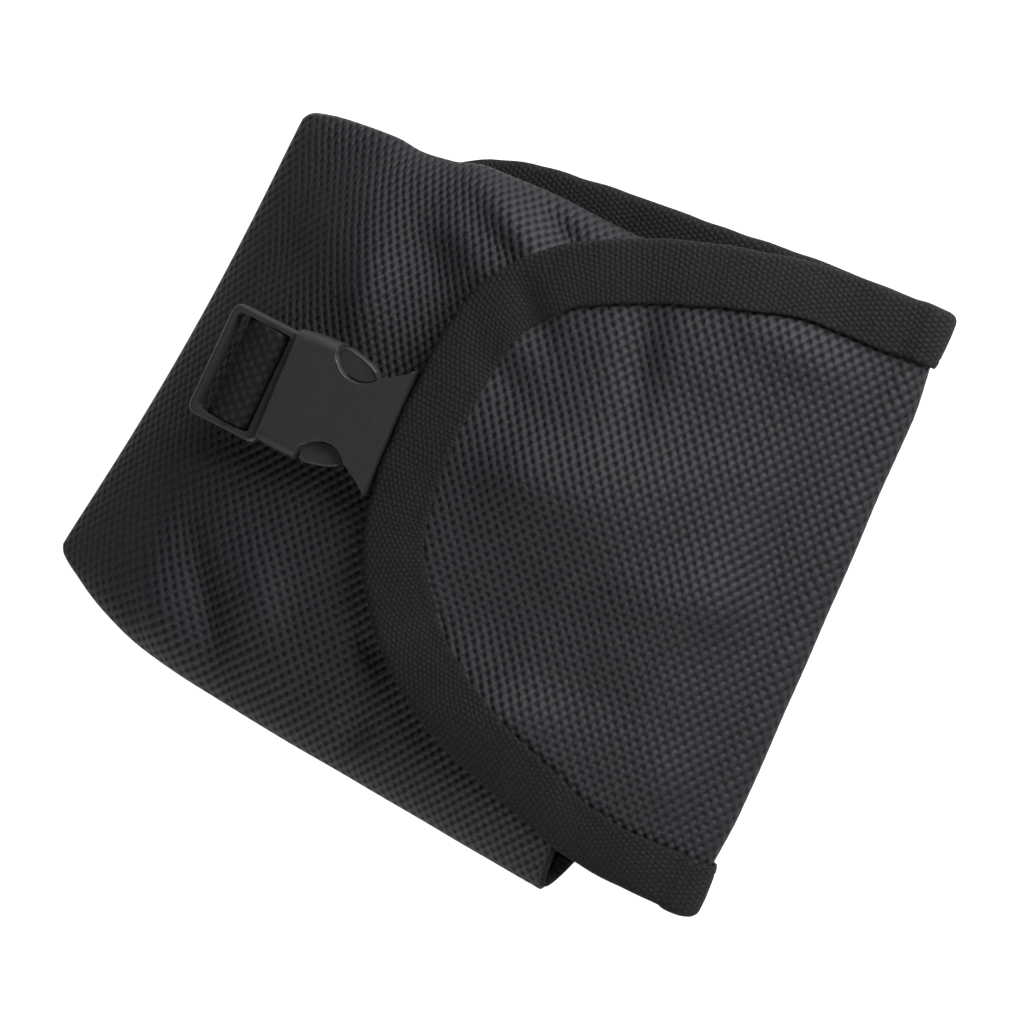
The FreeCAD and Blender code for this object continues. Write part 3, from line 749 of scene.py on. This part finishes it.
# Down the middle, from the mouth to the bottom: share of the way, place along Y, height.
POUCH_LINE = [
    (0, MOUTH_Y, CROWN_Z - 2.4), (0.12, 36, CROWN_Z - 0.4), (0.28, 12, CROWN_Z + 0.3),
    (0.48, -20, CROWN_Z - 0.2), (0.61, -42, CROWN_Z - 0.6), (0.68, -53, CROWN_Z - 1.2),
    (0.74, -62, CROWN_Z - 3), (0.80, -70, CROWN_Z - 5.8), (0.87, -78, CROWN_Z - 9.4),
    (0.93, -84, CROWN_Z - 12.8), (0.97, -87.4, CROWN_Z - 15.4), (0.99, -88.2, BACK_HIGH + 1.8),
    (1, -87.4, BACK_HIGH + 0.3),
]
POUCH_PLACE = [(share, y) for share, y, z in POUCH_LINE]
POUCH_HEIGHT = [(share, z) for share, y, z in POUCH_LINE]
# How far the pouch reaches to the left and right by the same share.
POUCH_LEFT = [
    (0, -66), (0.28, -65.6), (0.45, -67.6), (0.55, -67.6), (0.61, -65.6), (0.68, -64.8),
    (0.74, -65.6), (0.85, -65), (0.95, -63.4), (1, -61),
]
POUCH_RIGHT = [
    (0, 87.2), (0.12, 85.8), (0.28, 83.8), (0.48, 81.4), (0.60, 79.2), (0.70, 76.6),
    (0.79, 72.6), (0.88, 68.2), (0.95, 65.2), (1, 62.4),
]
# Squareness of the pouch's section: 2 would be an ellipse.
POUCH_BOX = 3.6
# How far the side seams lie in from the back panel's edge.
LEFT_SEAM_IN, RIGHT_SEAM_IN = 10.5, 4
POUCH_FOLDS = [
    (-56, -15, 61, 16, 4.2, 2.6), (-59.5, -5, 61, 9, 3.2, -1.8), (-58, -66, -70, 13, 9, -1.6),
    (-44, -33, 30, 13, 8, -2), (-29, -43, 15, 16, 6, 1.4), (57, -51, 36, 17, 4.5, -2.2),
    (64, -62, 36, 14, 5, 1.4), (50, -38, 36, 16, 6, 1.3), (70, -3, 0, 5, 4, -1.4),
    (50, -8, 60, 7, 4, -1.4), (-40, -72, 20, 20, 8, -1.2), (-46, -20, 70, 16, 6, 1.4),
]


def pouch_point(share, turn):
    """A point of the pouch's front, by the share of the way down and the turn across it."""
    y = curve_through(POUCH_PLACE, share)
    top = curve_through(POUCH_HEIGHT, share)
    left, right = curve_through(POUCH_LEFT, share), curve_through(POUCH_RIGHT, share)
    cos, sin = math.cos(turn), math.sin(turn)
    across = -math.copysign(abs(cos) ** (2 / POUCH_BOX), cos)
    up = max(sin, 0) ** (2 / POUCH_BOX)
    seam = curve_through(BACK_EDGE, y) - (LEFT_SEAM_IN if across < 0 else RIGHT_SEAM_IN)
    near_seam = 1 - smooth(0, 0.5, up)
    x = mix(mix(left, right, (across + 1) / 2), seam * across, near_seam)
    gusset = 5.5 * (1 - smooth(0, 0.6, up)) * smooth(0.1, 0, share) * smooth(0, 0.2, across)
    return Vector((x, y + askew(x, y) + gusset, BACK_HIGH + (top - BACK_HIGH) * up))


def slack(x, y):
    """Height that the pouch's soft folds add at a place."""
    return folds(x, y, POUCH_FOLDS) + 0.8 * wobble(x, y, 26, 1.7) + 0.35 * wobble(x, y, 11, 6.1)


def slacken(point, share):
    """Lifts and lowers a point of the pouch's front by its soft folds."""
    loose = smooth(BACK_HIGH + 3, BACK_HIGH + 13, point.z) * smooth(0, 0.05, share)
    point.z += loose * slack(point.x, point.y)


def pouch_z(x, y):
    """Height of the pouch's outer face near its middle line."""
    low, high = 0, 1
    line_y = y - askew(x, y)
    for _ in range(20):
        share = (low + high) / 2
        if curve_through(POUCH_PLACE, share) > line_y:
            low = share
        else:
            high = share
    return curve_through(POUCH_HEIGHT, low) + slack(x, y) + CLOTH


def make_pouch():
    """The pouch's front, sides and bottom in one cloth. Gives back its edge at the mouth."""
    down, across = 110, 130
    middle = across // 2
    rows, uvs = [], []
    for i in range(down + 1):
        row = [pouch_point(i / down, math.pi * j / across) for j in range(across + 1)]
        for point in row:
            slacken(point, i / down)
        rows.append(row)
    for row, run in zip(rows, lengths_along([row[middle] for row in rows])):
        girth = lengths_along(row)
        uvs.append([(value - girth[middle], run) for value in girth])
    piece = grid_mesh("cloth_pouch", rows, uvs)
    thicken(piece, CLOTH, -1)
    finish_piece(piece, cloth_look, ("pouch_shell",), "pouch")
    return rows[0]


def make_mouth_tape(edge):
    """Binding tape folded over the mouth's edge."""
    inner = [point for point in edge if point.z > BACK_HIGH + 3]
    # The folded tape's outline: distance down from the edge, and outwards from the cloth.
    section = [
        (8, 0.55), (7.7, 0.75), (4, 0.85), (0.6, 0.8), (-0.7, 0.35), (-1, -0.75),
        (-0.7, -1.75), (0.6, -2.2), (4, -2.25), (7.7, -2.2), (8, -2.1),
    ]
    girth, distances = lengths_along(section), lengths_along(inner)
    rows, uvs = [], []
    for i, (point, distance) in enumerate(zip(inner, distances)):
        before, after = inner[max(i - 1, 0)], inner[min(i + 1, len(inner) - 1)]
        heading = (after - before).normalized()
        outward = Vector((-heading.z, 0, heading.x)).normalized()
        rows.append([point + Vector((0, -down, 0)) + outward * out for down, out in section])
        uvs.append([(distance, value) for value in girth])
    piece = grid_mesh("tape_mouth", rows, uvs)
    thicken(piece, TAPE_THICK * 0.8, 1)
    finish_piece(piece, tape_look, ("mouth_hem",), "pouch")


# ---------- webbing


def ribbon(name, line, across, thickness, body, node, drape=None):
    """Webbing along a line in Y and Z, between two values of X, draped across if need be."""
    columns = 14
    low_x, high_x = across
    distances = lengths_along(line)
    rows, uvs = [], []
    for i, (y, z) in enumerate(line):
        before, after = line[max(i - 1, 0)], line[min(i + 1, len(line) - 1)]
        heading = Vector((after[0] - before[0], after[1] - before[1])).normalized()
        row = []
        for j in range(columns + 1):
            share = j / columns
            x = mix(low_x, high_x, share)
            curl = CURL * (2 * share - 1) ** 6
            sag = drape(x, y) if drape else 0
            row.append((x, y + heading.y * curl, z - heading.x * curl + sag))
        rows.append(row)
        uvs.append([(distances[i], point[0] - low_x) for point in row])
    piece = grid_mesh(name, rows, uvs)
    thicken(piece, thickness)
    bevel = piece.modifiers.new("soft_edge", "BEVEL")
    bevel.width = 0.25 * MM
    bevel.segments = 2
    bevel.limit_method = "ANGLE"
    settle(piece)
    finish_piece(piece, webbing_look, (node,), body)
    return piece


def make_male_webbing():
    """Webbing round the male half's bar, and its end sewn on the pouch."""
    across = STRAP[0]
    floor_z = STRAP[2][0] + WEB_THICK / 2
    ring = BAR_R + BAR_GAP + WEB_THICK / 2
    y, z = MALE_BAR_Y, MALE_BAR_Z
    end_y = y - 9.6
    end_z = pouch_z(0, end_y) + 1.5 * WEB_THICK + BAR_GAP
    line = [(y + 3, floor_z), (y + 1.2, floor_z + 0.1)]
    line += arc((y, z), ring, -60, 90, 12)
    line += [
        (y - 1.6, z + ring + 0.05), (y - 3.4, z + ring - 0.2), (y - 5.4, z + ring - 0.9),
        (y - 7.2, z + 0.4), (y - 8.6, mix(z - 0.6, end_z, 0.45)), (end_y, end_z),
    ]
    piece = ribbon("webbing_male", line, across, WEB_THICK, "male_half", "male_strap")
    set_askew(piece)

    sewn_end = extent("male_strap_base", 1)[1]
    places = [mix(end_y - 0.8, sewn_end, i / 12) for i in range(13)]
    line = [(place, pouch_z(0, place) + WEB_THICK / 2 + 0.05) for place in places]
    ribbon(
        "webbing_male_base", line, across, WEB_THICK, "pouch", "male_strap_base",
        lambda x, y: pouch_z(x, y) - pouch_z(0, y),
    )


def make_socket_webbing():
    """Webbing from the socket's bar to under the flap, in two layers."""
    across, along, up = spans("socket_strap")
    radius = (up[1] - up[0]) / 2 - WEB_THICK / 2
    bar_y, bar_z = along[0] + radius + WEB_THICK / 2, (up[0] + up[1]) / 2
    tape_end = TIP_Y + TIP_TAPE_WIDE

    def under_flap(y, layer):
        tape = 1.2 * TAPE_THICK * smooth(tape_end + 2.5, tape_end, y)
        return flap_z(0, y) - CLOTH / 2 - tape - (layer + 0.5) * WEB_THICK - 0.05

    places = [mix(along[1], bar_y + 5.5, i / 12) for i in range(13)]
    line = [(y, under_flap(y, 1)) for y in places]
    line += arc((bar_y, bar_z), radius, -90, -270, 16)
    line += [(y, under_flap(y, 0)) for y in reversed(places)]
    ribbon(
        "webbing_socket", line, across, WEB_THICK, "flap", "socket_strap",
        lambda x, y: (flap_z(x, y) - flap_z(0, y)) * smooth(bar_y + 2, bar_y + 8, y),
    )


def make_belt_loops():
    """Two loops of wide webbing on the back, each with a flat run and two sewn tails."""
    for side, (across, along, up) in LOOPS.items():
        low, high = up[0] + LOOP_THICK / 2 + CURL, up[1] - LOOP_THICK / 2
        step = [
            (-3, high), (-1.2, high - 0.35), (-0.1, high - 1.6),
            (0.6, low + 1.2), (1.8, low + 0.3), (4, low),
        ]
        start, end = along[0] + LOOP_TAIL, along[1] - LOOP_TAIL
        line = [(along[0] + 0.4, high)] + [(start + y, z) for y, z in step]
        line += [(mix(start + 8, end - 8, i / 8), low) for i in range(9)]
        line += [(end - y, z) for y, z in reversed(step)] + [(along[1] - 0.4, high)]
        name, node = "webbing_loop_" + side, "belt_loop_" + side
        ribbon(name, line, across, LOOP_THICK, "pouch", node)


# ---------- hard parts

# The socket: its heights, the end of its side rails, its length to the flared tips, and half
# the width of its channel.
SOCKET_LOW, SOCKET_TOP = SOCKET[2]
RAIL_END_Y = SOCKET[1][1]
SOCKET_LONG = 31.2
TIP_LINE_Y = SEAM_Y + SOCKET_LONG
CHANNEL_HALF = 12.7
# The window for each tab is an arc bitten out of the socket's side: centre and radius.
WINDOW_X, WINDOW_Y, WINDOW_R = 14.9, SEAM_Y + 18.2, 6.7
# The male half's frame: heights, half width, its free end and its end in the socket.
FRAME_LOW, FRAME_TOP = MALE[2][0] + 0.4, MALE[2][1]
FRAME_HALF = 14.7
FRAME_END_Y = MALE[1][0] - 1.9
FRAME_HIGH_Y = SEAM_Y + 2.2
TONGUE_TIP_Y = MALE[1][1]


def solid(name, points, faces):
    """A closed body with outward faces."""
    piece = new_piece(name, points, faces)
    work = bmesh.new()
    work.from_mesh(piece.data)
    bmesh.ops.recalc_face_normals(work, faces=work.faces)
    work.to_mesh(piece.data)
    work.free()
    return piece


def stacked(name, outline, levels, move=lambda x, y, inset: (x, y)):
    """A moulded body: one outline repeated at several heights, drawn in by move(x, y, inset)."""
    count = len(outline)
    points = [(*move(x, y, inset), height) for height, inset in levels for x, y in outline]
    faces = []
    for i in range(len(levels) - 1):
        low, high = i * count, (i + 1) * count
        for j in range(count):
            nj = (j + 1) % count
            faces.append((low + j, low + nj, high + nj, high + j))
    faces.append(tuple(reversed(range(count))))
    faces.append(tuple(range(len(points) - count, len(points))))
    return solid(name, points, faces)


def profile(low, top, from_low, from_top):
    """Levels for a moulded body, as (distance, inset) up from its foot and down from its top."""
    levels = [(low + up, inset) for up, inset in from_low]
    return levels + [(top - down, inset) for down, inset in from_top]


def prism(name, outline, low, top):
    """A body with upright sides."""
    return stacked(name, outline, [(low, 0), (top, 0)])


def block(name, low, high):
    """A plain block between two corners."""
    (x0, y0, z0), (x1, y1, z1) = low, high
    return prism(name, [(x0, y0), (x1, y0), (x1, y1), (x0, y1)], z0, z1)


def rod(name, y, z, radius, half_length):
    """A round bar along X."""
    sides = 20
    points = []
    for x in (-half_length, half_length):
        for k in range(sides):
            angle = 2 * math.pi * k / sides
            points.append((x, y + radius * math.cos(angle), z + radius * math.sin(angle)))
    faces = []
    for k in range(sides):
        nk = (k + 1) % sides
        faces.append((k, nk, sides + nk, sides + k))
    faces += [tuple(reversed(range(sides))), tuple(range(sides, 2 * sides))]
    return solid(name, points, faces)


def mirrored(half):
    """A closed outline from its right half."""
    return half + [(-x, y) for x, y in reversed(half)]


def rounded_box(half, low, high, radius):
    """Outline of a rectangle in plan with rounded corners."""
    corners = [
        (half - radius, high - radius), (radius - half, high - radius),
        (radius - half, low + radius), (half - radius, low + radius),
    ]
    points = []
    for quarter, corner in enumerate(corners):
        points += arc(corner, radius, 90 * quarter, 90 * (quarter + 1), 6)
    return points


def combine(piece, other, operation):
    """Joins two bodies into one, or cuts one from the other."""
    tool = piece.modifiers.new(operation, "BOOLEAN")
    tool.operation = operation
    tool.solver = "EXACT"
    tool.object = other
    settle(piece)
    bpy.data.objects.remove(other)


def crisp(piece):
    """Smooth shading that keeps flat faces flat and sharp edges sharp."""
    piece.data.shade_smooth()
    piece.data.set_sharp_from_angle(angle=math.radians(35))
    flat = piece.modifiers.new("flat_faces", "WEIGHTED_NORMAL")
    flat.keep_sharp = True
    flat.weight = 90


def socket_outline():
    """The socket in plan: from its seam up its sides, round the windows, to the flared tips."""
    side = [(12.9, 0), (13.9, 0.25), (14.4, 0.9), (14.75, 3), (15, 7), (15.05, 11.4)]
    flare = [
        (11.9, 25), (12.8, 26.6), (14.1, 28.6), (15.5, 30.6),
        (16.1, SOCKET_LONG - 0.25), (15.9, SOCKET_LONG),
    ]
    window = arc((WINDOW_X, WINDOW_Y), WINDOW_R, 268, 122, 20)
    half = [(x, SEAM_Y + y) for x, y in side] + window + [(x, SEAM_Y + y) for x, y in flare]
    return mirrored(half)


def make_socket():
    """The socket: a hollow shell with rounded sides, a window on each side and flared tips."""
    window_low = WINDOW_Y - WINDOW_R

    def move(x, y, inset):
        share = mix(0.16, 1, smooth(window_low + 1.5, window_low - 0.5, y))
        new_x = x - math.copysign(min(inset * share, abs(x)), x)
        return new_x, y + 0.35 * inset * smooth(SEAM_Y + 1, SEAM_Y, y)

    low, top = SOCKET_LOW, SOCKET_TOP
    foot = [(0, 0.9), (0.3, 0.35), (0.9, 0)]
    shoulder = [(2.6, 0), (1.7, 0.22), (1, 0.62), (0.45, 1.25), (0.12, 2), (0, 2.9)]
    levels = profile(low, top, foot, shoulder)
    piece = stacked("buckle_socket_shell", socket_outline(), levels, move)
    channel_start = (-CHANNEL_HALF, SEAM_Y - 1, low + 1.5)
    channel_end = (CHANNEL_HALF, TIP_LINE_Y - 6.5, top - 1.8)
    combine(piece, block("channel", channel_start, channel_end), "DIFFERENCE")
    for x0, x1 in ((-14.4, -12.9), (12.9, 14.4)):
        rail = block("rail", (x0, TIP_LINE_Y - 0.6, low + 0.1), (x1, RAIL_END_Y, low + 2.6))
        combine(piece, rail, "UNION")
    combine(piece, rod("bar", RAIL_END_Y - 2, low + 1.15, 1.05, 13.2), "UNION")
    crisp(piece)
    finish_piece(piece, buckle_look, ("buckle_socket",), "flap")


def make_male():
    """The male half: a thin rounded frame, the bar for the webbing, a tongue and its root."""
    low, top = FRAME_LOW, FRAME_TOP
    middle_y = (FRAME_END_Y + FRAME_HIGH_Y) / 2

    def draw_in(x, y, inset):
        shrink = inset / (middle_y - FRAME_END_Y)
        return x * (1 - inset / FRAME_HALF), middle_y + (y - middle_y) * (1 - shrink)

    foot = [(0, 0.9), (0.25, 0.4), (0.8, 0.08), (1.4, 0)]
    shoulder = [(1.3, 0), (0.6, 0.12), (0.2, 0.42), (0, 0.95)]
    outer = rounded_box(FRAME_HALF, FRAME_END_Y, FRAME_HIGH_Y, 2.4)
    piece = stacked("buckle_male_frame", outer, profile(low, top, foot, shoulder), draw_in)
    inner = rounded_box(FRAME_HALF - 1.85, FRAME_END_Y + 1.9, SEAM_Y - 0.7, 1.4)
    combine(piece, prism("hole", inner, low - 1, top + 1), "DIFFERENCE")
    combine(piece, rod("bar", MALE_BAR_Y, MALE_BAR_Z, BAR_R, 13.4), "UNION")
    root = block("root", (-12.2, SEAM_Y - 1.2, low + 0.9), (12.2, SEAM_Y + 4.4, top - 0.5))
    combine(piece, root, "UNION")
    tongue = [(2.2, SEAM_Y + 4), (1.7, TONGUE_TIP_Y - 0.6), (0.9, TONGUE_TIP_Y)]
    combine(piece, prism("tongue", mirrored(tongue), low + 1.2, top - 0.9), "UNION")
    set_askew(piece)
    crisp(piece)
    finish_piece(piece, buckle_look, ("buckle_male",), "male_half")


def make_tab(side, sign):
    """A sprung tab that fills the socket's window, on its arm."""
    (_, _), (root_y, _), (low, top) = TABS[side]
    y = WINDOW_Y
    arm_in = [(7.7, root_y), (8.3, root_y + 3), (8.7, y - 6), (8.8, y - 2.5)]
    head = arc((WINDOW_X, y), WINDOW_R - 0.3, 186, 132, 14)
    rim = [
        (12.3, y + 3.9), (13.3, y + 2), (14.1, y - 0.6),
        (14.7, y - 3.4), (14.9, y - 5), (14.3, y - 5.8),
    ]
    arm_out = [(12.4, y - 6.1), (11.5, y - 7.6), (11, root_y + 2.5), (10.9, root_y)]
    outline = [(sign * px, py) for px, py in arm_in + head + rim + arm_out]

    def move(px, py, inset):
        on_rim = smooth(10.9, 12.6, abs(px)) * smooth(y - 6.5, y - 5, py)
        return px - sign * inset * on_rim, py

    foot = [(0, 0.6), (0.5, 0.15), (1, 0)]
    dished_top = [(0.6, 0), (0.25, 0.12), (0.03, 0.38), (0, 0.7), (0.22, 1.1)]
    piece = stacked("buckle_tab_" + side, outline, profile(low, top, foot, dished_top), move)
    crisp(piece)
    finish_piece(piece, tab_look, ("latch_" + side,), "tab_" + side)


def dress_cad(names, material):
    """Gives CAD nodes whose shape is right their material."""
    for name in names:
        node = frame["nodes"][name]
        node.data.materials.clear()
        node.data.materials.append(material)


make_cloth()
make_rim_tape()
mouth_edge = make_pouch()
make_mouth_tape(mouth_edge)
make_male_webbing()
make_socket_webbing()
make_belt_loops()
make_socket()
make_male()
for tab_side, tab_sign in zip(SIDES, (-1, 1)):
    make_tab(tab_side, tab_sign)
dress_cad(["drain_eyelets", "eyelet_washers"], eyelet_look)
dress_cad(["belt_loop_tacks", "male_strap_tack"], thread_look)

# ---------- floor, light and camera

WHITE = (1, 1, 1, 1)


def make_floor():
    """A plain pale floor under the pocket, lit evenly from within so that it stays white."""
    half = 4000
    rows = [[(-half, y, 0), (half, y, 0)] for y in (-half, half)]
    piece = grid_mesh("floor", rows, [[(0, 0)] * 2] * 2)
    nodes = Nodes("floor_paper")
    nodes.colour(nodes.lumps(nodes.place(), 3), (0.20, 0.20, 0.20), (0.22, 0.22, 0.22))
    nodes.set(Roughness=0.9, Specular_IOR_Level=0.05, Emission_Strength=0.95, Emission_Color=WHITE)
    piece.data.materials.append(nodes.material)


def make_light(name, place, size, power):
    """A soft square light aimed at the pocket. Lengths in millimetres."""
    data = bpy.data.lights.new(name, "AREA")
    data.shape = "SQUARE"
    data.size = size * MM
    data.energy = power
    light = bpy.data.objects.new(name, data)
    light.location = Vector(place) * MM
    light.rotation_mode = "QUATERNION"
    aim = Vector((0, 0, 15))
    light.rotation_quaternion = (aim - Vector(place)).to_track_quat("-Z", "Y")
    bpy.context.scene.collection.objects.link(light)


def make_world(strength):
    """Even studio light from all round."""
    world = bpy.data.worlds.new("studio")
    bpy.context.scene.world = world
    world.use_nodes = True
    background = world.node_tree.nodes["Background"]
    background.inputs["Color"].default_value = WHITE
    background.inputs["Strength"].default_value = strength


def make_camera():
    """The camera above the pocket's front, a little to the left and towards the fold, rolled."""
    sideways, towards_fold, roll = math.radians(5), math.radians(14), math.radians(23.05)
    distance = 700
    aim = Vector((0, 2, BACK_LOW))
    offset = Vector((-math.tan(sideways), math.tan(towards_fold), 1)).normalized()
    right = (-offset).cross(Vector((-1, 0, 0))).normalized()
    up = right.cross(-offset)
    rolled_right = right * math.cos(roll) + up * math.sin(roll)
    rolled_up = up * math.cos(roll) - right * math.sin(roll)
    data = bpy.data.cameras.new("camera")
    data.sensor_width = 36
    data.lens = 100.23
    data.shift_x, data.shift_y = 0.00557, -0.03613
    data.clip_start, data.clip_end = 0.01, 20
    camera = bpy.data.objects.new("camera", data)
    turn = Matrix((rolled_right, rolled_up, offset)).transposed().to_4x4()
    camera.matrix_world = Matrix.Translation((aim + offset * distance) * MM) @ turn
    bpy.context.scene.collection.objects.link(camera)
    bpy.context.scene.camera = camera


make_floor()
make_world(0.13)
make_light("key", (-600, 340, 350), size=620, power=29)
make_light("fill", (300, 400, 800), size=600, power=1)
make_light("edge", (600, 60, 300), size=300, power=5)
make_camera()
bpy.context.scene.view_settings.view_transform = "Standard"
